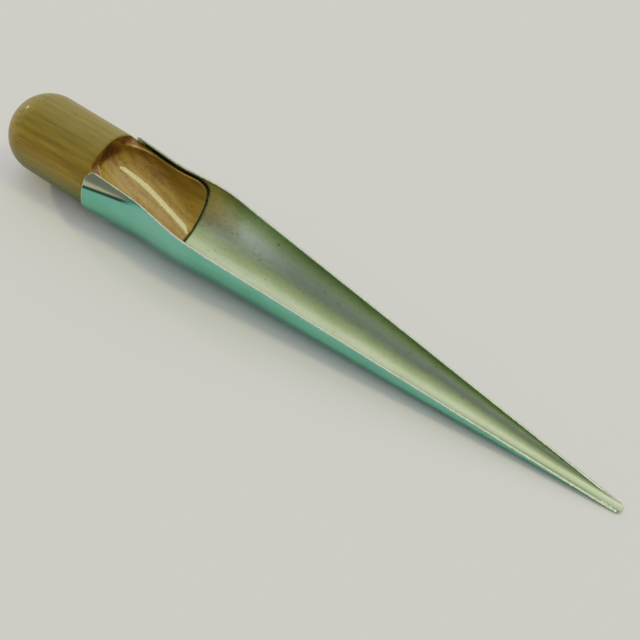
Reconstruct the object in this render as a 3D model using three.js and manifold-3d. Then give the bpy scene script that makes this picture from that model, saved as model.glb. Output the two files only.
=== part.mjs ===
// Garden dibber: a sheet steel blade folded round a short hardwood handle.
// Millimetres, +Z up. The tool lies on its keel as it would on a bench, tip towards +X.
// Shapes are drawn along the handle's own axis (x = 0 at the mouth of the steel sleeve) and
// the finished tool is then tilted, so that its straight keel lies flat on z = 0.

import * as THREE from "three";
import { mergeVertices } from "three/addons/utils/BufferGeometryUtils.js";
import Module from "manifold-3d";

const wasm = await Module();
wasm.setup();

// ---------------------------------------------------------------- driving dimensions

// Handle
const HANDLE_RADIUS = 16;
const HANDLE_BACK = 30.9; // mouth of the sleeve back to where the domed end begins
const DOME_LENGTH = 15.3;
const INSERT_LENGTH = 35.2; // wood inside the sleeve

// Sheet steel blade
const SHEET = 1.0;
const FIT_GAP = 0.4; // between wood and steel
const SLEEVE_RADIUS = HANDLE_RADIUS + FIT_GAP + SHEET;
const BLADE_LENGTH = 225.4;
const KEEL_RISE = 6.1; // keel at the tip above keel at the mouth
const SLEEVE_RIM = { halfWidth: 13.4, height: 11.2, slope: -0.08 };
const TROUGH_RIM = { tipHalfWidth: 2.35, taper: 0.0792, tipHeight: -10.6, slope: -0.098 };
const WIDENING = [20, 50]; // the sleeve's rims spread into the trough's between these
const LOWERING = [36, 60];
const SLEEVE_FULLNESS = { start: 0.643, slope: -0.0055 }; // how far the walls lean in above the widest point
const TROUGH_FULLNESS = 0.16;
const OPENING = [20, 65]; // the closed sleeve becomes an open trough between these
const FLATTENING = [150, 225]; // the trough loses its upright walls towards the tip
const EAR_CORNER = { length: 3.8, girth: 5.0 };
const NOSE_LENGTH = 3.0;
const KEEL_FLAT = 0.07; // half width of the flat resting strip, as a share of the radius

// Thumb scoop in the wood
const LIP_START_HEIGHT = 9.6;
const LIP_END_HEIGHT = 6.6;
const LIP_SETTLE = 18; // the lip reaches its end height here
const LIP_CORNER = 6.5; // radius of the rounded top corner at the end of the wood
const LIP_WIDTH = 0.9; // wood left round the scoop
const SCOOP_BACK = -4; // the scoop is hollowed this far behind the mouth
const SCOOP_END = 4; // its hollow closes between here and its back
const SCOOP_FULL = 16; // full width from here on
const SCOOP_SPRING = { endHeight: -7, end: 44 }; // its walls spring from lower down towards here
const SCOOP_START_HEIGHT = 1.1; // floor at the mouth, from where it falls straight to the end
const SCOOP_SKIN = 1.0; // wood left under the scoop at its open end

// Countersunk screws through the sleeve into the wood
const SCREW_X = 7;
const SCREW_ANGLE = THREE.MathUtils.degToRad(140); // from straight up, to either side
const SCREW = { headRadius: 3.2, shankRadius: 1.6, headDepth: 1.6, length: 9.5, tip: 2.5, sink: 0.15 };
const SCREW_CLEARANCE = 0.3;
const HOLE_ABOVE = 2; // the cut for a screw reaches this far above its head
const SLOT = { width: 0.9, depth: 0.8 };

// Facets
const BLADE_SEGMENTS = 29; // odd, so that one facet lies flat under the keel
const WOOD_SEGMENTS = 40;
const SCOOP_SEGMENTS = { floor: 20, roof: 14 };
const SCREW_SEGMENTS = 20;

// ---------------------------------------------------------------- profile of the blade

const { lerp, smoothstep } = THREE.MathUtils;

function keelHeight(x) {
  return -SLEEVE_RADIUS + (KEEL_RISE * x) / BLADE_LENGTH;
}

function rimHalfWidth(x) {
  const onTrough = TROUGH_RIM.tipHalfWidth + TROUGH_RIM.taper * (BLADE_LENGTH - x);
  return lerp(SLEEVE_RIM.halfWidth, onTrough, smoothstep(x, ...WIDENING));
}

function rimHeight(x) {
  const onSleeve = SLEEVE_RIM.height + SLEEVE_RIM.slope * x;
  const onTrough = TROUGH_RIM.tipHeight + TROUGH_RIM.slope * (x - BLADE_LENGTH);
  return lerp(onSleeve, onTrough, smoothstep(x, ...LOWERING));
}

// Height of the rim above the section's centre, as a share of the section's height.
function fullness(x) {
  const onSleeve = SLEEVE_FULLNESS.start + SLEEVE_FULLNESS.slope * x;
  const onTrough = TROUGH_FULLNESS * (1 - smoothstep(x, ...FLATTENING));
  return lerp(onSleeve, onTrough, smoothstep(x, ...OPENING));
}

// The outside of the section at x: an arc of an ellipse through both rims and the keel.
function section(x) {
  const share = fullness(x);
  const halfWidth = rimHalfWidth(x) / Math.sqrt(1 - share * share);
  const halfHeight = (rimHeight(x) - keelHeight(x)) / (1 + share);
  const centre = keelHeight(x) + halfHeight;
  const fullAngle = Math.PI / 2 + Math.asin(share);
  return { halfWidth, halfHeight, centre, halfAngle: roundedAngle(x, fullAngle, halfWidth) };
}

// Half angle of the sheet, with its ear corners and its nose rounded off.
function roundedAngle(x, fullAngle, radius) {
  const intoNose = (x - (BLADE_LENGTH - NOSE_LENGTH)) / NOSE_LENGTH;
  if (intoNose > 0) {
    return fullAngle * Math.sqrt(Math.max(1 - intoNose * intoNose, 0));
  }
  const toEar = Math.max(1 - x / EAR_CORNER.length, 0);
  const earCut = EAR_CORNER.girth * (1 - Math.sqrt(1 - toEar * toEar));
  return fullAngle - earCut / radius;
}

// ---------------------------------------------------------------- solids from sections

// Closed body through rings of points that all have the same count.
function loft(rings) {
  const count = rings[0].length;
  const positions = rings.flat().flatMap((point) => point.toArray());
  const indices = [];
  for (let ring = 0; ring < rings.length - 1; ring++) {
    for (let i = 0; i < count; i++) {
      const a = ring * count + i;
      const b = ring * count + ((i + 1) % count);
      indices.push(a, a + count, b, b, a + count, b + count);
    }
  }
  const cap = (ring) => {
    const outline = rings[ring].map((point) => new THREE.Vector2(point.y, point.z));
    const faces = THREE.ShapeUtils.triangulateShape(outline, []);
    const turned = THREE.ShapeUtils.isClockWise(outline) ? faces.map((face) => face.toReversed()) : faces;
    return turned.map((face) => face.map((i) => ring * count + i));
  };
  indices.push(...cap(0).flat(), ...cap(rings.length - 1).flatMap((face) => face.toReversed()));
  const geometry = new THREE.BufferGeometry();
  geometry.setAttribute("position", new THREE.Float32BufferAttribute(positions, 3));
  geometry.setIndex(indices);
  return facingOut(geometry);
}

function facingOut(geometry) {
  const position = geometry.getAttribute("position");
  const index = geometry.getIndex();
  const [a, b, c] = [new THREE.Vector3(), new THREE.Vector3(), new THREE.Vector3()];
  let volume = 0;
  for (let i = 0; i < index.count; i += 3) {
    a.fromBufferAttribute(position, index.getX(i));
    b.fromBufferAttribute(position, index.getX(i + 1));
    c.fromBufferAttribute(position, index.getX(i + 2));
    volume += a.dot(b.cross(c));
  }
  if (volume < 0) {
    index.array.reverse();
  }
  return geometry;
}

function toSolid(geometry) {
  const plain = geometry.clone();
  plain.deleteAttribute("normal");
  plain.deleteAttribute("uv");
  const merged = mergeVertices(plain, 1e-4);
  return new wasm.Manifold(
    new wasm.Mesh({
      numProp: 3,
      vertProperties: new Float32Array(merged.getAttribute("position").array),
      triVerts: new Uint32Array(merged.getIndex().array),
    }),
  );
}

function toGeometry(solid) {
  const { vertProperties, triVerts } = solid.getMesh();
  const geometry = new THREE.BufferGeometry();
  geometry.setAttribute("position", new THREE.Float32BufferAttribute(vertProperties, 3));
  geometry.setIndex(new THREE.Uint32BufferAttribute(triVerts, 1));
  return geometry;
}

function oval(x, centre, halfWidth, halfHeight, segments) {
  return Array.from({ length: segments }, (_, i) => {
    const angle = (2 * Math.PI * i) / segments;
    return new THREE.Vector3(x, halfWidth * Math.sin(angle), centre + halfHeight * Math.cos(angle));
  });
}

// Values from start to end in equal steps, both ends included.
function steps(start, end, count) {
  return Array.from({ length: count + 1 }, (_, i) => lerp(start, end, i / count));
}

// ---------------------------------------------------------------- blade

function bladeRing(x) {
  const { halfWidth, halfHeight, centre, halfAngle } = section(x);
  const flat = Math.min(KEEL_FLAT, halfAngle / 2);
  const half = steps(flat, halfAngle, (BLADE_SEGMENTS - 1) / 2);
  const angles = [...half.map((angle) => -angle).reverse(), ...half];
  const arc = (inset) => angles.map((angle) => {
    const onKeel = Math.abs(angle) === flat;
    const outward = new THREE.Vector2(Math.sin(angle) / halfWidth, Math.cos(angle) / halfHeight);
    outward.setLength(inset);
    const y = halfWidth * Math.sin(angle) - outward.x;
    const z = onKeel ? centre - halfHeight + inset : centre - halfHeight * Math.cos(angle) + outward.y;
    return new THREE.Vector3(x, y, z);
  });
  return [...arc(0), ...arc(SHEET).reverse()];
}

function bladeStations() {
  const ear = [0, 0.04, 0.12, 0.25, 0.45, 0.7, 1].map((share) => share * EAR_CORNER.length);
  const sleeve = steps(EAR_CORNER.length, OPENING[1], 16).slice(1);
  const trough = steps(OPENING[1], BLADE_LENGTH - NOSE_LENGTH, 10).slice(1);
  const nose = [0.35, 0.6, 0.8, 0.94].map((share) => BLADE_LENGTH - NOSE_LENGTH * (1 - share));
  return [...ear, ...sleeve, ...trough, ...nose];
}

function blade() {
  const sheet = toSolid(loft(bladeStations().map(bladeRing)));
  return toGeometry(screwPlacements().reduce((solid, place) => solid.subtract(screwHole(place)), sheet));
}

// ---------------------------------------------------------------- handle

// The outside of the insert, a fit gap inside the sleeve.
function insertSection(x) {
  const { halfWidth, halfHeight, centre } = section(x);
  return { halfWidth: halfWidth - SHEET - FIT_GAP, halfHeight: halfHeight - SHEET - FIT_GAP, centre };
}

function woodBlank() {
  const domeRings = steps(0.02, 1, 8).map((share) => {
    const angle = (share * Math.PI) / 2;
    const x = -HANDLE_BACK - DOME_LENGTH * Math.cos(angle);
    const radius = HANDLE_RADIUS * Math.sin(angle);
    return oval(x, 0, radius, radius, WOOD_SEGMENTS);
  });
  const shaft = steps(-HANDLE_BACK, 0, 2).slice(1).map((x) => {
    return oval(x, 0, HANDLE_RADIUS, HANDLE_RADIUS, WOOD_SEGMENTS);
  });
  const insert = steps(0, INSERT_LENGTH, 9).slice(1).map((x) => {
    const { halfWidth, halfHeight, centre } = insertSection(x);
    return oval(x, centre, halfWidth, halfHeight, WOOD_SEGMENTS);
  });
  return toSolid(loft([...domeRings, ...shaft, ...insert]));
}

// Everything above the lip and in front of the mouth, with the end's top corner rounded.
function aboveLip() {
  const reach = 2 * SLEEVE_RADIUS;
  const outline = new THREE.Shape();
  outline.moveTo(0, reach);
  outline.lineTo(0, LIP_START_HEIGHT);
  outline.quadraticCurveTo(LIP_SETTLE / 2, LIP_END_HEIGHT, LIP_SETTLE, LIP_END_HEIGHT);
  outline.lineTo(INSERT_LENGTH - LIP_CORNER, LIP_END_HEIGHT);
  outline.absarc(INSERT_LENGTH - LIP_CORNER, LIP_END_HEIGHT - LIP_CORNER, LIP_CORNER, Math.PI / 2, 0, true);
  outline.lineTo(reach + INSERT_LENGTH, LIP_END_HEIGHT - LIP_CORNER);
  outline.lineTo(reach + INSERT_LENGTH, reach);
  const options = { depth: 2 * reach, bevelEnabled: false, curveSegments: 6 };
  const slab = new THREE.ExtrudeGeometry(outline, options);
  slab.rotateX(Math.PI / 2);
  slab.translate(0, reach, 0);
  return toSolid(slab);
}

function scoopFloor(x) {
  const { halfHeight, centre } = insertSection(INSERT_LENGTH);
  const end = centre - halfHeight + SCOOP_SKIN;
  return lerp(SCOOP_START_HEIGHT, end, x / INSERT_LENGTH);
}

// The hollow at x: half an ellipse down to the floor from the height where its walls spring, but
// never nearer than the lip's width to the outside, and above it an oval parallel to the outside.
function scoopRing(x) {
  const { halfWidth, halfHeight, centre } = insertSection(THREE.MathUtils.clamp(x, 0, INSERT_LENGTH));
  const spring = lerp(LIP_END_HEIGHT, SCOOP_SPRING.endHeight, smoothstep(x, 0, SCOOP_SPRING.end));
  const behind = Math.max(SCOOP_FULL - x, 0) / (SCOOP_FULL - SCOOP_BACK);
  const atEnd = Math.max(SCOOP_END - x, 0) / (SCOOP_END - SCOOP_BACK);
  const closing = Math.pow(1 - atEnd ** 4, 1 / 4);
  const fullWidth = halfWidth - LIP_WIDTH;
  const width = fullWidth * Math.sqrt(1 - behind * behind);
  const height = halfHeight - LIP_WIDTH;
  const springShare = (spring - centre) / height;
  const wall = width * Math.sqrt(1 - springShare * springShare) * closing;
  const depth = (spring - scoopFloor(x)) * closing;
  const reach = Math.sqrt(springShare ** 2 + closing ** 2 * (1 - springShare ** 2));
  const springAngle = Math.asin(springShare / reach);
  const floor = steps(-Math.PI / 2, Math.PI / 2, SCOOP_SEGMENTS.floor).map((angle) => {
    const y = wall * Math.sin(angle);
    const lowest = centre - height * Math.sqrt(1 - (y / fullWidth) ** 2);
    return new THREE.Vector3(x, y, Math.max(spring - depth * Math.cos(angle), lowest));
  });
  const roof = steps(springAngle, Math.PI - springAngle, SCOOP_SEGMENTS.roof).slice(1, -1).map((angle) => {
    return new THREE.Vector3(x, width * reach * Math.cos(angle), centre + height * reach * Math.sin(angle));
  });
  return [...floor, ...roof];
}

function scoop() {
  const back = [0.985, 0.85, 0.6, 0.3, 0].map((share) => SCOOP_BACK * share);
  const front = steps(0, INSERT_LENGTH + 1, 12).slice(1);
  return toSolid(loft([...back, ...front].map(scoopRing)));
}

function handle() {
  const carved = woodBlank().subtract(aboveLip()).subtract(scoop());
  return toGeometry(screwPlacements().reduce((solid, place) => solid.subtract(screwHole(place)), carved));
}

// ---------------------------------------------------------------- screws

// Turns a shape drawn about +Y, head at the origin, into place on the sleeve.
function screwPlacement(side) {
  const { halfWidth, halfHeight, centre } = section(SCREW_X);
  const across = side * Math.sin(SCREW_ANGLE);
  const up = Math.cos(SCREW_ANGLE);
  const outward = new THREE.Vector3(0, across / halfWidth, up / halfHeight).normalize();
  const turn = new THREE.Quaternion().setFromUnitVectors(new THREE.Vector3(0, 1, 0), outward);
  const head = new THREE.Vector3(SCREW_X, halfWidth * across, centre + halfHeight * up);
  head.addScaledVector(outward, -SCREW.sink);
  return new THREE.Matrix4().compose(head, turn, new THREE.Vector3(1, 1, 1));
}

function screwPlacements() {
  return [-1, 1].map(screwPlacement);
}

function screwProfile(grow, above) {
  const head = SCREW.headRadius + grow;
  const shank = SCREW.shankRadius + grow;
  const points = [
    [0, -SCREW.length - grow],
    [shank, -SCREW.length + SCREW.tip],
    [shank, -SCREW.headDepth - grow],
    [head, above > 0 ? 0 : -grow],
  ];
  if (above > 0) {
    points.push([head, above]);
  }
  points.push([0, above]);
  return points.map(([x, y]) => new THREE.Vector2(x, y));
}

function screw() {
  const body = toSolid(new THREE.LatheGeometry(screwProfile(0, 0), SCREW_SEGMENTS));
  const slot = new THREE.BoxGeometry(3 * SCREW.headRadius, 2 * SLOT.depth, SLOT.width);
  return toGeometry(body.subtract(toSolid(slot)));
}

function screwHole(placement) {
  const hole = new THREE.LatheGeometry(screwProfile(SCREW_CLEARANCE, HOLE_ABOVE), SCREW_SEGMENTS);
  hole.applyMatrix4(placement);
  return toSolid(hole);
}

// ---------------------------------------------------------------- assembly

const steel = new THREE.MeshStandardMaterial({ color: 0x9fb29a, roughness: 0.3, metalness: 1 });
const wood = new THREE.MeshStandardMaterial({ color: 0x8f6a34, roughness: 0.45, metalness: 0 });
const screwSteel = new THREE.MeshStandardMaterial({ color: 0xb8bcb8, roughness: 0.35, metalness: 1 });

function named(name, geometry, material) {
  const mesh = new THREE.Mesh(geometry, material);
  mesh.name = name;
  return mesh;
}

function assemble() {
  const tool = new THREE.Group();
  tool.add(named("blade", blade(), steel));
  tool.add(named("handle", handle(), wood));
  const screwGeometry = screw();
  ["handle_screw_right", "handle_screw_left"].forEach((name, i) => {
    const mesh = named(name, screwGeometry, screwSteel);
    mesh.applyMatrix4(screwPlacements()[i]);
    tool.add(mesh);
  });
  tool.rotation.y = Math.atan2(KEEL_RISE, BLADE_LENGTH);
  return tool;
}

// The origin is under the middle of the tool's length, on the surface that it lies on.
function laidDown(tool) {
  const dibber = new THREE.Group();
  dibber.add(tool);
  const box = new THREE.Box3().setFromObject(dibber, true);
  tool.position.x = -(box.min.x + box.max.x) / 2;
  tool.position.z = -box.min.z;
  return dibber;
}

export default laidDown(assemble());
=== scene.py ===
"""Garden dibber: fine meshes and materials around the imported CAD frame.

Shapes are drawn in millimetres along the handle's own axis (x = 0 at the mouth of the steel
sleeve) and then laid down like the CAD model, with the keel flat on z = 0.
"""

import math

import bmesh
import bpy
import numpy as np
from mathutils import Matrix, Vector


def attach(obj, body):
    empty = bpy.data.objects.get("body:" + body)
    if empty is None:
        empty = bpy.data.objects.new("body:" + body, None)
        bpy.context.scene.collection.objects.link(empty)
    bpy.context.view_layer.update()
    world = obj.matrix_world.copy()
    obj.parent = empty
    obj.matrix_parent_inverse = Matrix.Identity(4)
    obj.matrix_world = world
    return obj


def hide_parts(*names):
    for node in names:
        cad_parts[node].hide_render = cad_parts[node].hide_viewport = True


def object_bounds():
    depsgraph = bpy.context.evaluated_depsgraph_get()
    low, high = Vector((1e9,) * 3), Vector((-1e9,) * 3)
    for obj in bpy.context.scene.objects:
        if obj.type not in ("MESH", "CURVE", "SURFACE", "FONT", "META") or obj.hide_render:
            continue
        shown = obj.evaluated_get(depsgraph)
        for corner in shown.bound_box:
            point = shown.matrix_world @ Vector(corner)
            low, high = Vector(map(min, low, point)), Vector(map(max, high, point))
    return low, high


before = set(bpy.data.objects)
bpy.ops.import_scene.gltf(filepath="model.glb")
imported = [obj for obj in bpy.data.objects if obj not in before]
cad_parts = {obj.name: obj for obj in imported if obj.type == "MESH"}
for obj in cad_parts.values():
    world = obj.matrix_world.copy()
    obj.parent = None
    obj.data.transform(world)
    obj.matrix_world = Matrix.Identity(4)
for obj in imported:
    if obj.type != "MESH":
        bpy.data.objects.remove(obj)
cad_low, cad_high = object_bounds()
MM = 0.001

# ------------------------------------------------------------ dimensions, as in the CAD model

HANDLE_RADIUS = 16.0
HANDLE_BACK = 30.9  # mouth of the sleeve back to where the domed end begins
DOME_LENGTH = 15.3
INSERT_LENGTH = 35.2  # wood inside the sleeve

SHEET = 1.0  # thickness of the steel
FIT_GAP = 0.4  # between wood and steel
SLEEVE_RADIUS = HANDLE_RADIUS + FIT_GAP + SHEET
BLADE_LENGTH = 225.4
KEEL_RISE = 6.1  # keel at the tip above keel at the mouth
SLEEVE_RIM_HALF_WIDTH = 13.4
SLEEVE_RIM_HEIGHT, SLEEVE_RIM_FALL = 11.2, 0.08
TROUGH_TIP_HALF_WIDTH, TROUGH_TAPER = 2.35, 0.0792
TROUGH_TIP_HEIGHT, TROUGH_FALL = -10.6, 0.098
WIDENING = (20, 50)  # the sleeve's rims spread into the trough's between these
LOWERING = (36, 60)
SLEEVE_FULLNESS, SLEEVE_OPENING = 0.643, 0.0055
TROUGH_FULLNESS = 0.16
OPENING = (20, 65)  # the closed sleeve becomes an open trough between these
FLATTENING = (150, 225)  # the trough loses its upright walls towards the tip
EAR_LENGTH = 3.8
EAR_GIRTH = 5.0
NOSE_LENGTH = 3.0
BLADE_END = BLADE_LENGTH - 0.2  # a little short of the faceted model, to stay inside it

LIP_START_HEIGHT, LIP_END_HEIGHT = 9.6, 6.6
LIP_SETTLE = 18.0  # the lip reaches its end height here
LIP_CORNER = 6.5  # radius of the rounded top corner at the end of the wood
LIP_WIDTH = 0.9  # wood left round the scoop
SCOOP_BACK = -4.0  # the scoop is hollowed this far behind the mouth
SCOOP_END = 4.0  # its hollow closes between here and its back
SCOOP_FULL = 16.0  # full width from here on
SCOOP_START_HEIGHT = 1.1  # floor at the mouth, from where it falls straight to the end
SCOOP_SPRING_END, SCOOP_SPRING_HEIGHT = 44.0, -7.0  # its walls spring lower towards here
SCOOP_SKIN = 1.0  # wood left under the scoop at its open end
WOOD_INSET = 0.02  # a little under the faceted model, to stay inside it

SCREW_X = 7.0
SCREW_ANGLE = math.radians(140)  # from straight up, to either side
SCREW_HEAD, SCREW_SHANK = 3.2, 1.6
SCREW_HEAD_DEPTH, SCREW_LENGTH = 1.6, 9.5
SCREW_SINK = 0.15
SCREW_CLEARANCE = 0.3
COUNTERSINK = 3  # the cone cut for a head gets this much deeper as it gets this much narrower
HOLE_BELOW, HOLE_ABOVE = 4, 2  # the cut reaches this far below and above the top of the head
SLOT_LENGTH, SLOT_WIDTH, SLOT_HEIGHT = 9, 0.9, 1.6  # the slot's lower half cuts the head
THREAD_PITCH, THREAD_DEPTH = 1.1, 0.35
THREAD_START = 2.0  # from the point to the first ridge of the thread
SCREW_SEGMENTS = 64

TILT = math.atan2(KEEL_RISE, BLADE_LENGTH)
DOME_REACH = HANDLE_BACK * math.cos(TILT) + math.hypot(
    DOME_LENGTH * math.cos(TILT), HANDLE_RADIUS * math.sin(TILT)
)
LAID_DOWN = Matrix.Translation(
    (cad_low[0] + DOME_REACH * MM, 0, cad_low[2] + SLEEVE_RADIUS * math.cos(TILT) * MM)
) @ Matrix.Rotation(TILT, 4, "Y")


def smoothstep(x, low, high):
    t = np.clip((x - low) / (high - low), 0, 1)
    return t * t * (3 - 2 * t)


def mix(a, b, t):
    return a + (b - a) * t


def keel_height(x):
    return -SLEEVE_RADIUS + KEEL_RISE * x / BLADE_LENGTH


def rim_half_width(x):
    on_trough = TROUGH_TIP_HALF_WIDTH + TROUGH_TAPER * (BLADE_LENGTH - x)
    return mix(SLEEVE_RIM_HALF_WIDTH, on_trough, smoothstep(x, *WIDENING))


def rim_height(x):
    on_sleeve = SLEEVE_RIM_HEIGHT - SLEEVE_RIM_FALL * x
    on_trough = TROUGH_TIP_HEIGHT - TROUGH_FALL * (x - BLADE_LENGTH)
    return mix(on_sleeve, on_trough, smoothstep(x, *LOWERING))


def fullness(x):
    """Height of the rim above the section's centre, as a share of the section's height."""
    on_sleeve = SLEEVE_FULLNESS - SLEEVE_OPENING * x
    on_trough = TROUGH_FULLNESS * (1 - smoothstep(x, *FLATTENING))
    return mix(on_sleeve, on_trough, smoothstep(x, *OPENING))


def section(x):
    """Half width, half height, centre height and half angle of the sheet's outside at x."""
    share = fullness(x)
    half_width = rim_half_width(x) / np.sqrt(1 - share**2)
    half_height = (rim_height(x) - keel_height(x)) / (1 + share)
    centre = keel_height(x) + half_height
    return half_width, half_height, centre, np.pi / 2 + np.arcsin(share)


# ------------------------------------------------------------ mesh helpers


def new_object(name, vertices, faces):
    """An object whose vertices are millimetres in the handle's frame, laid down in place."""
    mesh = bpy.data.meshes.new(name)
    quads = [tuple(int(i) for i in f) for f in faces]
    mesh.from_pydata([tuple(v) for v in vertices], [], quads)
    mesh.transform(Matrix.Scale(MM, 4))
    mesh.transform(LAID_DOWN)
    mesh.validate()
    mesh.update()
    mesh.polygons.foreach_set("use_smooth", [True] * len(mesh.polygons))
    piece = bpy.data.objects.new(name, mesh)
    bpy.context.scene.collection.objects.link(piece)
    return piece


def apply_modifiers(piece):
    """Leaves the piece with the mesh that its modifiers make, and without them."""
    graph = bpy.context.evaluated_depsgraph_get()
    mesh = bpy.data.meshes.new_from_object(piece.evaluated_get(graph))
    piece.modifiers.clear()
    piece.data = mesh


# ------------------------------------------------------------ blade

EDGE_ROUND = 0.3  # radius of the sheet's rounded edge
BLADE_COLUMNS = 112
NEAR_EDGE = np.array([0, 0.01, 0.04, 0.09, 0.16, 0.3, 0.6])
SLEEVE_ROWS_END, TIP_ROWS_START = 66, 214
OUTSIDE_SLOT, INSIDE_SLOT, EDGE_SLOT = 0, 1, 2


def blade_rows():
    """Shares of the blade's length, close together at its ends and where the sheet bends most."""
    sleeve = np.linspace(0, SLEEVE_ROWS_END, 89)[1:]
    trough = np.linspace(SLEEVE_ROWS_END, TIP_ROWS_START, 44)[1:]
    tip = np.linspace(TIP_ROWS_START, BLADE_END - 0.8, 18)[1:]
    rows = np.concatenate([NEAR_EDGE, sleeve, trough, tip, BLADE_END - NEAR_EDGE[::-1]])
    return rows / BLADE_END


def blade_grid():
    """Outside and inside points of the sheet, and how far each is from the sheet's nearest edge."""
    rows = blade_rows()[:, None]
    around = np.sin(np.linspace(-np.pi / 2, np.pi / 2, BLADE_COLUMNS + 1))[None, :]
    girth = SLEEVE_RADIUS * section(0.0)[3]
    ear = EAR_GIRTH / girth
    corner = np.clip((np.abs(around) - (1 - ear)) / ear, 0, 1)
    mouth = EAR_LENGTH * (1 - np.sqrt(1 - corner**2))
    nose = BLADE_END - NOSE_LENGTH * (1 - np.sqrt(1 - around**2))
    x = mouth + (nose - mouth) * rows
    half_width, half_height, centre, half_angle = section(x)
    angle = around * half_angle
    across = half_width * np.sin(angle)
    outside = np.stack([x, across, centre - half_height * np.cos(angle)], -1)
    inward = np.stack([0 * x, -np.sin(angle) / half_width, np.cos(angle) / half_height], -1)
    inward /= np.linalg.norm(inward, axis=-1, keepdims=True)
    per_angle = np.hypot(half_width * np.cos(half_angle), half_height * np.sin(half_angle))
    from_rim = (1 - np.abs(around)) * half_angle * per_angle
    from_end = np.minimum(x - mouth, nose - x)
    from_edge = np.minimum(from_rim, from_end)
    past_round = np.clip(EDGE_ROUND - from_edge, 0, EDGE_ROUND)
    trim = EDGE_ROUND - np.sqrt(EDGE_ROUND**2 - past_round**2)
    inside = outside + inward * (SHEET - trim[..., None])
    return outside + inward * trim[..., None], inside, from_edge


def build_blade():
    """One closed sheet: both surfaces, joined all round by a strip along its edge."""
    outside, inside, from_edge = blade_grid()
    rows, count = from_edge.shape
    index = np.arange(rows * count).reshape(rows, count)
    quads = np.stack([index[:-1, :-1], index[:-1, 1:], index[1:, 1:], index[1:, :-1]], -1)
    sides = [index[0, :], index[1:, -1], index[-1, -2::-1], index[-2:0:-1, 0]]
    border = np.concatenate(sides)
    ahead = np.roll(border, -1)
    edge = np.stack([ahead, border, border + rows * count, ahead + rows * count], -1)
    quads = quads.reshape(-1, 4)
    faces = np.concatenate([quads, quads[:, ::-1] + rows * count, edge])
    near_edge = from_edge.reshape(-1)[quads].mean(-1) < EDGE_ROUND
    slots = np.concatenate(
        [
            np.where(near_edge, EDGE_SLOT, OUTSIDE_SLOT),
            np.where(near_edge, EDGE_SLOT, INSIDE_SLOT),
            np.full(len(edge), EDGE_SLOT),
        ]
    )
    vertices = np.concatenate([outside, inside]).reshape(-1, 3)
    blade = new_object("blade_sheet", vertices, faces)
    blade.data.polygons.foreach_set("material_index", slots.astype(np.int32))
    for material in (steel_outside(), steel_inside(), steel_edge()):
        blade.data.materials.append(material)
    for side in (-1, 1):
        drill(blade, screw_cutter(side))
    return blade


def drill(piece, cutter):
    hole = piece.modifiers.new("hole", "BOOLEAN")
    hole.operation = "DIFFERENCE"
    hole.solver = "EXACT"
    hole.object = cutter
    apply_modifiers(piece)
    bpy.data.objects.remove(cutter)


# ------------------------------------------------------------ screws


def screw_place(side):
    """Turns a shape drawn about +Z, head at the origin, into its place on the sleeve, in mm."""
    half_width, half_height, centre, _ = section(SCREW_X)
    across, up = side * math.sin(SCREW_ANGLE), math.cos(SCREW_ANGLE)
    outward = Vector((0, across / half_width, up / half_height)).normalized()
    on_sleeve = Vector((SCREW_X, half_width * across, centre + half_height * up))
    head = on_sleeve - outward * SCREW_SINK
    return Matrix.Translation(head) @ outward.to_track_quat("Z", "Y").to_matrix().to_4x4()


def lathe(profile, segments):
    """Closed surface of revolution about Z through (radius, height) points from axis to axis."""
    vertices = [(0, 0, profile[0][1])]
    for radius, height in profile[1:-1]:
        for i in range(segments):
            turn = 2 * math.pi * i / segments
            vertices.append((radius * math.cos(turn), radius * math.sin(turn), height))
    vertices.append((0, 0, profile[-1][1]))
    last = len(vertices) - 1
    faces = []
    rings = len(profile) - 2
    for i in range(segments):
        j = (i + 1) % segments
        faces.append((0, 1 + j, 1 + i))
        for ring in range(rings - 1):
            base = 1 + ring * segments
            faces.append((base + i, base + j, base + segments + j, base + segments + i))
        base = 1 + (rings - 1) * segments
        faces.append((base + i, base + j, last))
    return vertices, faces


def lathed_object(name, profile, place):
    vertices, faces = lathe(profile, SCREW_SEGMENTS)
    return new_object(name, [place @ Vector(v) for v in vertices], faces)


def screw_cutter(side):
    """The countersunk hole that a screw needs in the sheet."""
    head = SCREW_HEAD + SCREW_CLEARANCE
    narrow = head - COUNTERSINK
    profile = [(0, -HOLE_BELOW), (narrow, -HOLE_BELOW), (narrow, -COUNTERSINK)]
    profile += [(head, 0), (head, HOLE_ABOVE), (0, HOLE_ABOVE)]
    return lathed_object("cutter", profile, screw_place(side))


def slot_cutter(side):
    slot = bpy.data.meshes.new("slot")
    builder = bmesh.new()
    bmesh.ops.create_cube(builder, size=1)
    bmesh.ops.scale(builder, vec=(SLOT_LENGTH, SLOT_WIDTH, SLOT_HEIGHT), verts=builder.verts)
    place = LAID_DOWN @ Matrix.Scale(MM, 4) @ screw_place(side)
    bmesh.ops.transform(builder, matrix=place, verts=builder.verts)
    builder.to_mesh(slot)
    builder.free()
    cutter = bpy.data.objects.new("slot", slot)
    bpy.context.scene.collection.objects.link(cutter)
    return cutter


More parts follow.
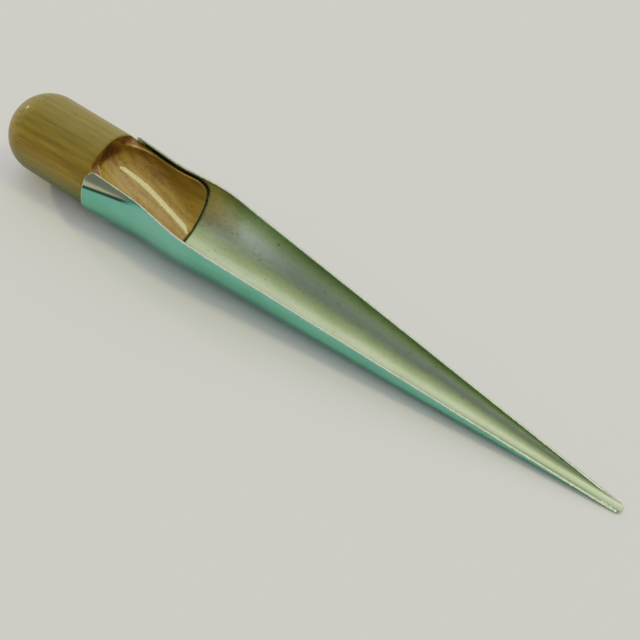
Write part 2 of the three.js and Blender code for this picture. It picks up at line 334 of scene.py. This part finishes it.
def build_screw(name, side):
    """A countersunk wood screw with ridges for its thread and a slot in its head."""
    thread = []
    room = SCREW_LENGTH - SCREW_HEAD_DEPTH - THREAD_START
    for i in range(int(room / THREAD_PITCH)):
        low = -SCREW_LENGTH + THREAD_START + i * THREAD_PITCH
        thread.append((SCREW_SHANK - THREAD_DEPTH, low))
        thread.append((SCREW_SHANK, low + 0.4 * THREAD_PITCH))
        thread.append((SCREW_SHANK, low + 0.55 * THREAD_PITCH))
    profile = [(0, -SCREW_LENGTH), (0.25, -SCREW_LENGTH + 0.3), *thread]
    profile += [(SCREW_SHANK, -SCREW_HEAD_DEPTH), (SCREW_HEAD, -0.12)]
    profile += [(SCREW_HEAD - 0.1, 0), (0, 0)]
    screw = lathed_object(name, profile, screw_place(side))
    drill(screw, slot_cutter(side))
    screw.data.materials.clear()
    screw.data.materials.append(screw_steel())
    return screw


# ------------------------------------------------------------ handle: a smooth implicit solid


def smooth_max(a, b, radius):
    h = np.maximum(radius - np.abs(a - b), 0) / radius
    return np.maximum(a, b) + h * h * radius / 4


def insert_section(x):
    half_width, half_height, centre, _ = section(np.clip(x, 0, INSERT_LENGTH))
    return half_width - SHEET - FIT_GAP, half_height - SHEET - FIT_GAP, centre


def wood_blank(x, y, z):
    """Roughly the distance outside the domed dowel and its tapering insert."""
    half_width, half_height, centre = insert_section(x)
    into_dome = np.minimum(x + HANDLE_BACK, 0) / DOME_LENGTH
    across, up = y / half_width, (z - centre) / half_height
    reach = np.sqrt(across**2 + up**2 + into_dome**2)
    body = (reach - 1) * HANDLE_RADIUS + WOOD_INSET
    return smooth_max(body, x - INSERT_LENGTH, 1.0)


def lip_height(x):
    t = np.clip(x / LIP_SETTLE, 0, 1)
    along = mix(LIP_START_HEIGHT, LIP_END_HEIGHT, 2 * t - t * t)
    into_corner = np.clip((x - (INSERT_LENGTH - LIP_CORNER)) / LIP_CORNER, 0, 1)
    return along - LIP_CORNER * (1 - np.sqrt(1 - into_corner**2))


def scoop_floor(x):
    _, half_height, centre = insert_section(np.float64(INSERT_LENGTH))
    end = centre - half_height + SCOOP_SKIN
    return SCOOP_START_HEIGHT + (end - SCOOP_START_HEIGHT) * x / INSERT_LENGTH


def scoop_space(x, y, z):
    """Roughly the distance outside the scoop's hollow.

    Its floor is half an ellipse hung from the spring height, but never nearer than the lip's
    width to the wood's outside, and above the spring its walls run parallel to that outside.
    """
    half_width, half_height, centre = insert_section(x)
    half_height = half_height - LIP_WIDTH
    spring = mix(LIP_END_HEIGHT, SCOOP_SPRING_HEIGHT, smoothstep(x, 0, SCOOP_SPRING_END))
    behind = np.maximum(SCOOP_FULL - x, 0) / (SCOOP_FULL - SCOOP_BACK)
    width = (half_width - LIP_WIDTH) * np.sqrt(np.maximum(1 - behind**2, 0.02))
    at_end = np.maximum(SCOOP_END - x, 0) / (SCOOP_END - SCOOP_BACK)
    spring_share = (spring - centre) / half_height
    rise = ((np.maximum(z, spring) - centre) / half_height) ** 2 - spring_share**2
    depth = np.maximum(spring - z, 0) / (spring - scoop_floor(x))
    aside = np.maximum(((y / width) ** 2 + rise) / (1 - spring_share**2), 0)
    up = (z - centre) / half_height
    within = np.sqrt((y / (half_width - LIP_WIDTH)) ** 2 + up**2)
    reach = smooth_max(np.sqrt(aside + depth**2), within, 0.04)
    return ((reach**4 + at_end**4) ** 0.25 - 1) * 8


def screw_bore(x, y, z):
    """Roughly the distance outside the two pilot holes for the screws."""
    points = np.stack([x, y, z, np.ones_like(x)], -1)
    nearest = np.full(x.shape, np.inf)
    for side in (-1, 1):
        local = points @ np.array(screw_place(side).inverted()).T
        around = np.hypot(local[..., 0], local[..., 1]) - SCREW_SHANK - SCREW_CLEARANCE
        past_point = -local[..., 2] - SCREW_LENGTH - SCREW_CLEARANCE
        nearest = np.minimum(nearest, np.maximum(around, past_point))
    return nearest


def wood(x, y, z):
    """Roughly the distance outside the finished handle."""
    blank = wood_blank(x, y, z)
    above_lip = -smooth_max(-x, lip_height(x) - z, 1.5)
    carved = smooth_max(blank, above_lip, 0.6)
    hollowed = smooth_max(carved, -scoop_space(x, y, z), 0.8)
    return np.maximum(hollowed, -screw_bore(x, y, z))


def surface_net(function, low, high, step):
    """Quads on a function's zero surface, one vertex in each cell that the surface crosses."""
    axes = [np.arange(a, b + step, step) for a, b in zip(low, high)]
    values = function(*np.meshgrid(*axes, indexing="ij"))
    inside = values < 0
    shape = [n - 1 for n in values.shape]
    total = np.zeros(shape + [3])
    crossings = np.zeros(shape)
    corner = np.stack(np.meshgrid(*[a[:-1] for a in axes], indexing="ij"), -1)
    for axis in range(3):
        for other in np.ndindex(2, 2):
            offset = [0, 0, 0]
            free = [i for i in range(3) if i != axis]
            offset[free[0]], offset[free[1]] = other
            start = tuple(slice(o, o + n) for o, n in zip(offset, shape))
            offset[axis] = 1
            end = tuple(slice(o, o + n) for o, n in zip(offset, shape))
            offset[axis] = 0
            cross = inside[start] != inside[end]
            a, b = values[start], values[end]
            share = np.where(cross, a / np.where(cross, a - b, 1), 0)
            point = corner + np.array(offset) * step
            point[..., axis] += share * step
            total += np.where(cross[..., None], point, 0)
            crossings += cross
    used = crossings > 0
    index = np.full(shape, -1)
    index[used] = np.arange(used.sum())
    vertices = total[used] / crossings[used][:, None]
    faces = []
    for axis in range(3):
        first, second = [(1, 2), (2, 0), (0, 1)][axis]
        start = [slice(1, n) for n in shape]
        start[axis] = slice(0, shape[axis])
        end = list(start)
        end[axis] = slice(1, shape[axis] + 1)
        cross = inside[tuple(start)] != inside[tuple(end)]
        where = np.argwhere(cross)
        where[:, [first, second]] += 1
        leaving = inside[tuple(start)][cross]
        quads = []
        for da, db in ((0, 0), (1, 0), (1, 1), (0, 1)):
            cell = where.copy()
            cell[:, first] -= da
            cell[:, second] -= db
            quads.append(index[tuple(cell.T)])
        quads = np.stack(quads, -1)
        quads[~leaving] = quads[~leaving][:, ::-1]
        faces.append(quads)
    return vertices, np.concatenate(faces)


def settle(function, vertices, rounds=4, probe=0.02):
    """Moves vertices along the gradient onto the function's zero surface."""
    points = vertices.copy()
    for _ in range(rounds):
        value = function(*points.T)
        slopes = []
        for shift in np.eye(3) * probe:
            change = function(*(points + shift).T) - function(*(points - shift).T)
            slopes.append(change / (2 * probe))
        slope = np.stack(slopes, -1)
        size = np.maximum((slope**2).sum(-1), 0.04)
        points -= np.clip(value / size, -0.3, 0.3)[:, None] * slope
    return points


WOOD_GRID = 0.5  # cell size of the handle's mesh
CARVED_DEPTH = 0.3  # wood cut deeper than this into the blank is glossy carved wood


def build_handle():
    """The wood, which carries two distances for its materials: under the blank, and to the hollow."""
    low = (-HANDLE_BACK - DOME_LENGTH - 1, -HANDLE_RADIUS - 1, -HANDLE_RADIUS - 1)
    high = (INSERT_LENGTH + 1, HANDLE_RADIUS + 1, HANDLE_RADIUS + 1)
    vertices, faces = surface_net(wood, low, high, WOOD_GRID)
    vertices = settle(wood, vertices)
    handle = new_object("handle_wood", vertices, faces)
    cut_depth = -wood_blank(*vertices.T)
    depth = handle.data.attributes.new("cut_depth", "FLOAT", "POINT")
    depth.data.foreach_set("value", cut_depth.astype(np.float32))
    hollow = handle.data.attributes.new("from_hollow", "FLOAT", "POINT")
    hollow.data.foreach_set("value", scoop_space(*vertices.T).astype(np.float32))
    on_cut = cut_depth[faces].mean(-1) > CARVED_DEPTH
    handle.data.polygons.foreach_set("material_index", on_cut.astype(np.int32))
    handle.data.materials.append(turned_wood())
    handle.data.materials.append(carved_wood())
    return handle


# ------------------------------------------------------------ materials


def paint(red, green, blue):
    """A colour given as it looks on a screen, 0 to 255, as the linear value that nodes take."""
    shares = [c / 255 for c in (red, green, blue)]
    return (*[c / 12.92 if c <= 0.04045 else ((c + 0.055) / 1.055) ** 2.4 for c in shares], 1)


WOOD_LIGHT = paint(142, 122, 54)
WOOD_DARK = paint(108, 88, 40)
WOOD_PORE = paint(50, 38, 20)
WOOD_UNDERSIDE_PAINTED_SHADE = paint(72, 88, 58)
UNDERSIDE_PAINTED_SHADE_HEIGHTS = (0.024, 0.011)  # painted shade: the handle gets greener and darker going down between these heights
WOOD_TOP_PAINTED_SHADE = paint(80, 82, 38)
TOP_PAINTED_SHADE_HEIGHTS = (0.022, 0.034)  # and painted shade makes it darker going up between these
SCOOP_LIGHT = paint(170, 146, 74)
SCOOP_DARK = paint(134, 102, 66)
END_GRAIN_LIGHT = paint(128, 90, 48)
END_GRAIN_DARK = paint(90, 58, 34)
STEEL_OUT = paint(84, 160, 148)
STEEL_OUT_DEEP = paint(72, 148, 136)
# painted reflection on the ears: its light and its dark part
STEEL_EAR_PAINTED_REFLECTION_LIGHT = paint(150, 158, 134)
STEEL_EAR_PAINTED_REFLECTION_DARK = paint(44, 60, 56)
EAR_PAINTED_REFLECTION_REACH = (-0.066, -0.073)  # the painted reflection on the ears, a grey band, begins between these places along the tool
EAR_PAINTED_REFLECTION_SLOPE = 0.115  # and above a line that climbs so much along the tool
EAR_PAINTED_REFLECTION_LINE = (0.0314, 0.0320)  # the painted reflection's dark lower part begins between these heights
EAR_PAINTED_REFLECTION_SPLIT = (0.0326, 0.0334)  # and its light upper part between these
STEEL_IN = paint(164, 193, 131)
STEEL_IN_DEEP = paint(150, 175, 119)
STEEL_IN_WALLS = paint(150, 158, 154)
STEEL_IN_SLEEVE = paint(198, 210, 202)
STEEL_IN_DULL = paint(124, 140, 108)
STEEL_STAIN = paint(70, 74, 58)
TROUGH_MIDDLE = 0.0131  # half width of the trough where the tool is in the middle
STEEL_EDGE = paint(188, 208, 176)
STEEL_EDGE_DULL = paint(146, 170, 138)
SCREW_BRIGHT = paint(196, 200, 192)
SCREW_TARNISH = paint(134, 138, 128)
FLOOR_DARK = paint(238, 238, 236)
FLOOR_LIGHT = paint(242, 242, 240)


class Material:
    """A node material: each method adds nodes and returns the socket that carries its result."""

    def __init__(self, name, **values):
        self.made = bpy.data.materials.new(name)
        self.made.use_nodes = True
        self.tree = self.made.node_tree
        self.tree.nodes.clear()
        output = self.add("ShaderNodeOutputMaterial")
        self.shader = self.add("ShaderNodeBsdfPrincipled")
        self.tree.links.new(self.shader.outputs[0], output.inputs[0])
        for socket, value in values.items():
            self.shader.inputs[socket.replace("_", " ")].default_value = value
        self.place = self.add("ShaderNodeTexCoord").outputs["Object"]

    def add(self, kind, **settings):
        node = self.tree.nodes.new(kind)
        for name, value in settings.items():
            setattr(node, name, value)
        return node

    def feed(self, socket, value):
        if isinstance(value, bpy.types.NodeSocket):
            self.tree.links.new(value, socket)
        else:
            socket.default_value = value

    def math(self, operation, a, b=0.0):
        node = self.add("ShaderNodeMath", operation=operation)
        self.feed(node.inputs[0], a)
        self.feed(node.inputs[1], b)
        return node.outputs[0]

    def stretched(self, along, across, shift=0.0):
        """Place on the tool times so many cycles per millimetre, along it and across it."""
        node = self.add("ShaderNodeMapping")
        self.feed(node.inputs["Vector"], self.place)
        node.inputs["Scale"].default_value = (along / MM, across / MM, across / MM)
        node.inputs["Location"].default_value = (shift, shift, shift)
        return node.outputs[0]

    def noise(self, along, across, detail=3.0, roughness=0.5, shift=0.0, distortion=0.0):
        node = self.add("ShaderNodeTexNoise")
        self.feed(node.inputs["Vector"], self.stretched(along, across, shift))
        node.inputs["Scale"].default_value = 1.0
        node.inputs["Detail"].default_value = detail
        node.inputs["Roughness"].default_value = roughness
        node.inputs["Distortion"].default_value = distortion
        return node.outputs[0]

    def spots(self, along, across, size, shift=0.0):
        """Soft round spots on a random grid, 1 at the middle of each and 0 outside it."""
        node = self.add("ShaderNodeTexVoronoi")
        self.feed(node.inputs["Vector"], self.stretched(along, across, shift))
        node.inputs["Scale"].default_value = 1.0
        return self.ramp(node.outputs["Distance"], size, 0.0)

    def ramp(self, value, low, high, low_out=0.0, high_out=1.0):
        """A smooth step in value between low and high, which may be given in falling order."""
        node = self.add("ShaderNodeMapRange", interpolation_type="SMOOTHSTEP")
        if low > high:
            low, high, low_out, high_out = high, low, high_out, low_out
        for socket, number in zip(node.inputs[1:5], (low, high, low_out, high_out)):
            socket.default_value = number
        self.feed(node.inputs[0], value)
        return node.outputs[0]

    def mix(self, share, a, b):
        node = self.add("ShaderNodeMix", data_type="RGBA")
        self.feed(node.inputs[0], share)
        self.feed(node.inputs[6], a)
        self.feed(node.inputs[7], b)
        return node.outputs[2]

    def axis(self, name):
        node = self.add("ShaderNodeSeparateXYZ")
        self.feed(node.inputs[0], self.place)
        return node.outputs[name]

    def normal(self, name):
        node = self.add("ShaderNodeSeparateXYZ")
        self.feed(node.inputs[0], self.add("ShaderNodeNewGeometry").outputs["Normal"])
        return node.outputs[name]

    def attribute(self, name):
        return self.add("ShaderNodeAttribute", attribute_name=name).outputs["Fac"]

    def bump(self, height, distance):
        """Relief so many millimetres high where height is 1."""
        node = self.add("ShaderNodeBump")
        node.inputs["Strength"].default_value = 1.0
        node.inputs["Distance"].default_value = distance * MM
        self.feed(node.inputs["Height"], height)
        return node.outputs[0]

    def finish(self, colour, roughness, normal=None):
        self.feed(self.shader.inputs["Base Color"], colour)
        self.feed(self.shader.inputs["Roughness"], roughness)
        if normal is not None:
            self.feed(self.shader.inputs["Normal"], normal)
        return self.made


def wood_finish(name, roughness, relief_depth, **coat):
    """Lacquered hardwood, its grain along the handle, lighter and redder where it is carved; painted
    shade makes the turned handle greener and darker towards its underside and darker towards its top.
    """
    m = Material(name, IOR=1.4, **coat)
    carved = m.ramp(m.attribute("cut_depth"), 0.1, 0.7)
    flame = m.noise(0.018, 0.2, detail=3, distortion=0.5)
    rings = m.add("ShaderNodeTexWave", wave_type="BANDS", bands_direction="Y")
    rings.wave_profile = "SIN"
    m.feed(rings.inputs["Vector"], m.stretched(0.01, 0.11))
    ring_values = {"Scale": 1.0, "Distortion": 7.0, "Detail": 3.0, "Detail Scale": 1.1}
    for socket, value in ring_values.items():
        rings.inputs[socket].default_value = value
    fibre = m.noise(0.06, 1.5, detail=6, roughness=0.68, shift=3.0)
    pores = m.ramp(m.noise(0.12, 3.0, detail=1, shift=7.0), 0.6, 0.72)
    banded = m.math("MULTIPLY", rings.outputs[0], 0.1)
    grain = m.math("ADD", m.math("MULTIPLY", flame, 0.45), banded)
    grain = m.math("ADD", grain, m.math("MULTIPLY", fibre, 0.55))
    outside = m.mix(m.ramp(grain, 0.36, 0.74), WOOD_DARK, WOOD_LIGHT)
    hollow = m.mix(m.ramp(grain, 0.36, 0.74), SCOOP_DARK, SCOOP_LIGHT)
    end_grain = m.ramp(m.math("ABSOLUTE", m.normal("X")), 0.7, 0.92)
    on_lip = m.math("MAXIMUM", end_grain, m.ramp(m.attribute("from_hollow"), 0.3, 1.1))
    lip = m.mix(m.ramp(fibre, 0.35, 0.7), END_GRAIN_DARK, END_GRAIN_LIGHT)
    hollow = m.mix(on_lip, hollow, lip)
    # painted shade: the turned handle gets greener and darker towards its underside
    low = m.ramp(m.axis("Z"), *UNDERSIDE_PAINTED_SHADE_HEIGHTS)
    outside = m.mix(m.math("MULTIPLY", low, 0.95), outside, WOOD_UNDERSIDE_PAINTED_SHADE)
    # painted shade: the turned handle gets darker towards its top
    high = m.ramp(m.axis("Z"), *TOP_PAINTED_SHADE_HEIGHTS)
    outside = m.mix(m.math("MULTIPLY", high, 0.6), outside, WOOD_TOP_PAINTED_SHADE)
    colour = m.mix(carved, outside, hollow)
    colour = m.mix(m.math("MULTIPLY", pores, 0.3), colour, WOOD_PORE)
    relief = m.math("SUBTRACT", m.math("MULTIPLY", fibre, 0.6), pores)
    uneven = m.math("MULTIPLY", fibre, 0.15)
    return m.finish(colour, m.math("ADD", uneven, roughness), m.bump(relief, relief_depth))


def turned_wood():
    coat = {"Coat_Weight": 0.08, "Coat_Roughness": 0.12}
    return wood_finish("turned_wood", 0.42, 0.025, Specular_IOR_Level=0.2, **coat)


def carved_wood():
    coat = {"Coat_Weight": 0.36, "Coat_Roughness": 0.08}
    return wood_finish("carved_wood", 0.3, 0.008, Specular_IOR_Level=0.12, **coat)


def steel_outside():
    """Polished steel with a cool green cast, polishing lines, scuffs and a painted reflection on each
    ear: a grey band with a dark lower part.
    """
    m = Material("steel_outside", Metallic=1.0)
    haze = m.noise(0.03, 0.09, detail=3)
    lines = m.noise(0.03, 2.2, detail=4, roughness=0.6, shift=5.0)
    cast = m.mix(m.ramp(haze, 0.3, 0.75), STEEL_OUT_DEEP, STEEL_OUT)
    # painted reflection: a grey band with a dark lower part on each ear
    above_reflection_line = m.math("SUBTRACT", m.axis("Z"), m.math("MULTIPLY", m.axis("X"), EAR_PAINTED_REFLECTION_SLOPE))
    on_ear_painted_reflection = m.ramp(m.axis("X"), *EAR_PAINTED_REFLECTION_REACH)
    on_ear_painted_reflection = m.math("MULTIPLY", on_ear_painted_reflection, m.ramp(above_reflection_line, *EAR_PAINTED_REFLECTION_LINE))
    ear = m.mix(m.ramp(above_reflection_line, *EAR_PAINTED_REFLECTION_SPLIT), STEEL_EAR_PAINTED_REFLECTION_DARK, STEEL_EAR_PAINTED_REFLECTION_LIGHT)
    cast = m.mix(on_ear_painted_reflection, cast, ear)
    scuffs = m.ramp(m.noise(0.35, 0.9, detail=6, roughness=0.7, shift=9.0), 0.6, 0.75)
    roughness = m.math("ADD", m.math("MULTIPLY", lines, 0.1), m.math("MULTIPLY", scuffs, 0.06))
    return m.finish(cast, m.math("ADD", roughness, 0.1), m.bump(lines, 0.004))


def steel_inside():
    """Satin steel, brushed along the trough, with a pale olive cast, spots and a few stains."""
    m = Material("steel_inside", Metallic=1.0)
    brushed = m.noise(0.02, 3.4, detail=5, roughness=0.65)
    clouds = m.noise(0.05, 0.14, detail=4, shift=2.0)
    colour = m.mix(m.ramp(clouds, 0.3, 0.75), STEEL_IN_DEEP, STEEL_IN)
    narrowing = m.math("MULTIPLY", m.axis("X"), TROUGH_TAPER)
    half_width = m.math("SUBTRACT", TROUGH_MIDDLE, narrowing)
    up_wall = m.math("DIVIDE", m.math("ABSOLUTE", m.axis("Y")), half_width)
    near_sleeve = m.ramp(m.axis("X"), -0.01, -0.05)
    walls = m.mix(near_sleeve, STEEL_IN_WALLS, STEEL_IN_SLEEVE)
    colour = m.mix(m.ramp(up_wall, 0.45, 0.8), colour, walls)
    mottle = m.noise(0.5, 0.9, detail=4, roughness=0.6, shift=6.0)
    lines = m.ramp(brushed, 0.42, 0.7, 0.0, 0.3)
    streaks = m.math("ADD", lines, m.ramp(mottle, 0.45, 0.7, 0.0, 0.25))
    patches = m.ramp(m.noise(0.06, 0.12, detail=2, shift=11.0), 0.48, 0.6)
    spots = m.math("MULTIPLY", m.spots(0.3, 0.5, 0.26, shift=4.0), patches)
    spots = m.math("MULTIPLY", spots, 0.5)
    specks = m.math("MULTIPLY", m.spots(0.1, 0.16, 0.1, shift=8.0), 0.85)
    stains = m.math("MAXIMUM", spots, specks)
    colour = m.mix(streaks, colour, STEEL_IN_DULL)
    colour = m.mix(stains, colour, STEEL_STAIN)
    dull = m.math("MULTIPLY", stains, 0.2)
    roughness = m.math("ADD", m.math("MULTIPLY", brushed, 0.16), dull)
    return m.finish(colour, m.math("ADD", roughness, 0.27), m.bump(brushed, 0.006))


def steel_edge():
    """The sheet's cut edge: bare and rubbed bright, with small nicks."""
    m = Material("steel_edge", Metallic=1.0)
    nicks = m.noise(0.7, 1.1, detail=5, roughness=0.7)
    colour = m.mix(m.ramp(nicks, 0.35, 0.7), STEEL_EDGE_DULL, STEEL_EDGE)
    return m.finish(colour, m.ramp(nicks, 0.3, 0.8, 0.16, 0.36), m.bump(nicks, 0.012))


def screw_steel():
    """Plain screw steel with a little tarnish."""
    m = Material("screw_steel", Metallic=1.0)
    tarnish = m.noise(0.6, 0.6, detail=5)
    colour = m.mix(m.ramp(tarnish, 0.4, 0.7), SCREW_BRIGHT, SCREW_TARNISH)
    return m.finish(colour, m.ramp(tarnish, 0.3, 0.8, 0.22, 0.42), m.bump(tarnish, 0.01))


def floor_paint():
    """A plain pale matt floor with the faintest unevenness."""
    m = Material("floor_paint")
    cloud = m.noise(0.004, 0.004, detail=2)
    return m.finish(m.mix(cloud, FLOOR_DARK, FLOOR_LIGHT), 0.9)


# ------------------------------------------------------------ camera, light and floor

CAMERA_PLACE = Vector((0.1500, -0.2839, 0.3582))
CAMERA_AIM = Vector((0.0122, -0.0054, 0.0120))
CAMERA_ROLL = math.radians(10.59)
CAMERA_LENS = 72.98
FLOOR_REACH = 3.0
BRIGHT_SIDE = Vector((-0.25, 0.62, 0.74)).normalized()  # where most of the sky's light comes from
SKY_DARK, SKY_BRIGHT = 0.42, 1.15
SCOOP_MIDDLE = (-0.072, 0.005, 0.012)
DOME_TOP = (-0.125, -0.005, 0.030)


def looking(place, aim):
    """The transform of a camera or lamp that stands at one place and faces another."""
    facing = (aim - place).to_track_quat("-Z", "Y").to_matrix().to_4x4()
    return Matrix.Translation(place) @ facing


def add_camera():
    data = bpy.data.cameras.new("camera")
    data.lens = CAMERA_LENS
    data.sensor_width = 36
    camera = bpy.data.objects.new("camera", data)
    bpy.context.scene.collection.objects.link(camera)
    roll = Matrix.Rotation(CAMERA_ROLL, 4, "Z")
    camera.matrix_world = looking(CAMERA_PLACE, CAMERA_AIM) @ roll
    bpy.context.scene.camera = camera


def add_area_light(name, place, aim, size, power, colour):
    data = bpy.data.lights.new(name, "AREA")
    data.shape = "RECTANGLE"
    data.size, data.size_y = size
    data.energy = power
    data.color = colour
    light = bpy.data.objects.new(name, data)
    bpy.context.scene.collection.objects.link(light)
    light.matrix_world = looking(Vector(place), Vector(aim))


def add_floor():
    mesh = bpy.data.meshes.new("floor")
    corners = [(FLOOR_REACH * x, FLOOR_REACH * y, 0) for x, y in ((-1, -1), (1, -1), (1, 1), (-1, 1))]
    mesh.from_pydata(corners, [], [(0, 1, 2, 3)])
    floor = bpy.data.objects.new("floor", mesh)
    bpy.context.scene.collection.objects.link(floor)
    floor.data.materials.append(floor_paint())


def add_world():
    """Soft light that falls off smoothly from above the far side to the near horizon."""
    world = bpy.data.worlds.new("world")
    world.use_nodes = True
    tree = world.node_tree
    place = tree.nodes.new("ShaderNodeTexCoord")
    facing = tree.nodes.new("ShaderNodeVectorMath")
    facing.operation = "DOT_PRODUCT"
    facing.inputs[1].default_value = BRIGHT_SIDE
    strength = tree.nodes.new("ShaderNodeMapRange")
    strength.interpolation_type = "SMOOTHSTEP"
    for socket, number in zip(strength.inputs[1:5], (-0.15, 0.95, SKY_DARK, SKY_BRIGHT)):
        socket.default_value = number
    background = tree.nodes["Background"]
    background.inputs["Color"].default_value = (1.0, 0.99, 0.96, 1)
    tree.links.new(place.outputs["Generated"], facing.inputs[0])
    tree.links.new(facing.outputs["Value"], strength.inputs[0])
    tree.links.new(strength.outputs[0], background.inputs["Strength"])
    bpy.context.scene.world = world


def lamp_place(azimuth, elevation, distance, seen_from=(0, 0, 0)):
    """A place so many metres away, so many degrees from +X round to +Y, and up."""
    turn, rise = math.radians(azimuth), math.radians(elevation)
    level = math.cos(rise)
    facing = Vector((level * math.cos(turn), level * math.sin(turn), math.sin(rise)))
    return Vector(seen_from) + distance * facing


add_camera()
add_floor()
add_world()
# The key is the soft main light. The end lamp makes the glint on the domed end, and the top
# lamp the long streak in the thumb scoop. The cool lamp adds a little blue from the tip's side.
add_area_light("key", lamp_place(120, 60, 1.6), (0, 0, 0), (1.6, 1.6), 10.5, (1, 0.97, 0.9))
end_place = lamp_place(169, 18, 1.2, DOME_TOP)
add_area_light("end_lamp", end_place, DOME_TOP, (0.06, 0.05), 5.0, (1, 0.9, 0.3))
top_place = lamp_place(14, 70.5, 1.3, SCOOP_MIDDLE)
add_area_light("top_lamp", top_place, SCOOP_MIDDLE, (0.24, 0.16), 5.6, (0.92, 1, 0.2))
cool_place = lamp_place(-15, 55, 1.3, SCOOP_MIDDLE)
add_area_light("cool_lamp", cool_place, SCOOP_MIDDLE, (0.06, 0.06), 0.5, (0.55, 0.75, 1))

# ------------------------------------------------------------ pieces

blade = build_blade()
handle = build_handle()
screws = [build_screw("screw_right", -1), build_screw("screw_left", 1)]
for piece, node, finish in (
    (blade, "blade", "polished_steel"),
    (handle, "handle", "lacquered_wood"),
    (screws[0], "handle_screw_right", "screw_steel"),
    (screws[1], "handle_screw_left", "screw_steel"),
):
    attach(piece, "root")
    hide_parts(node)
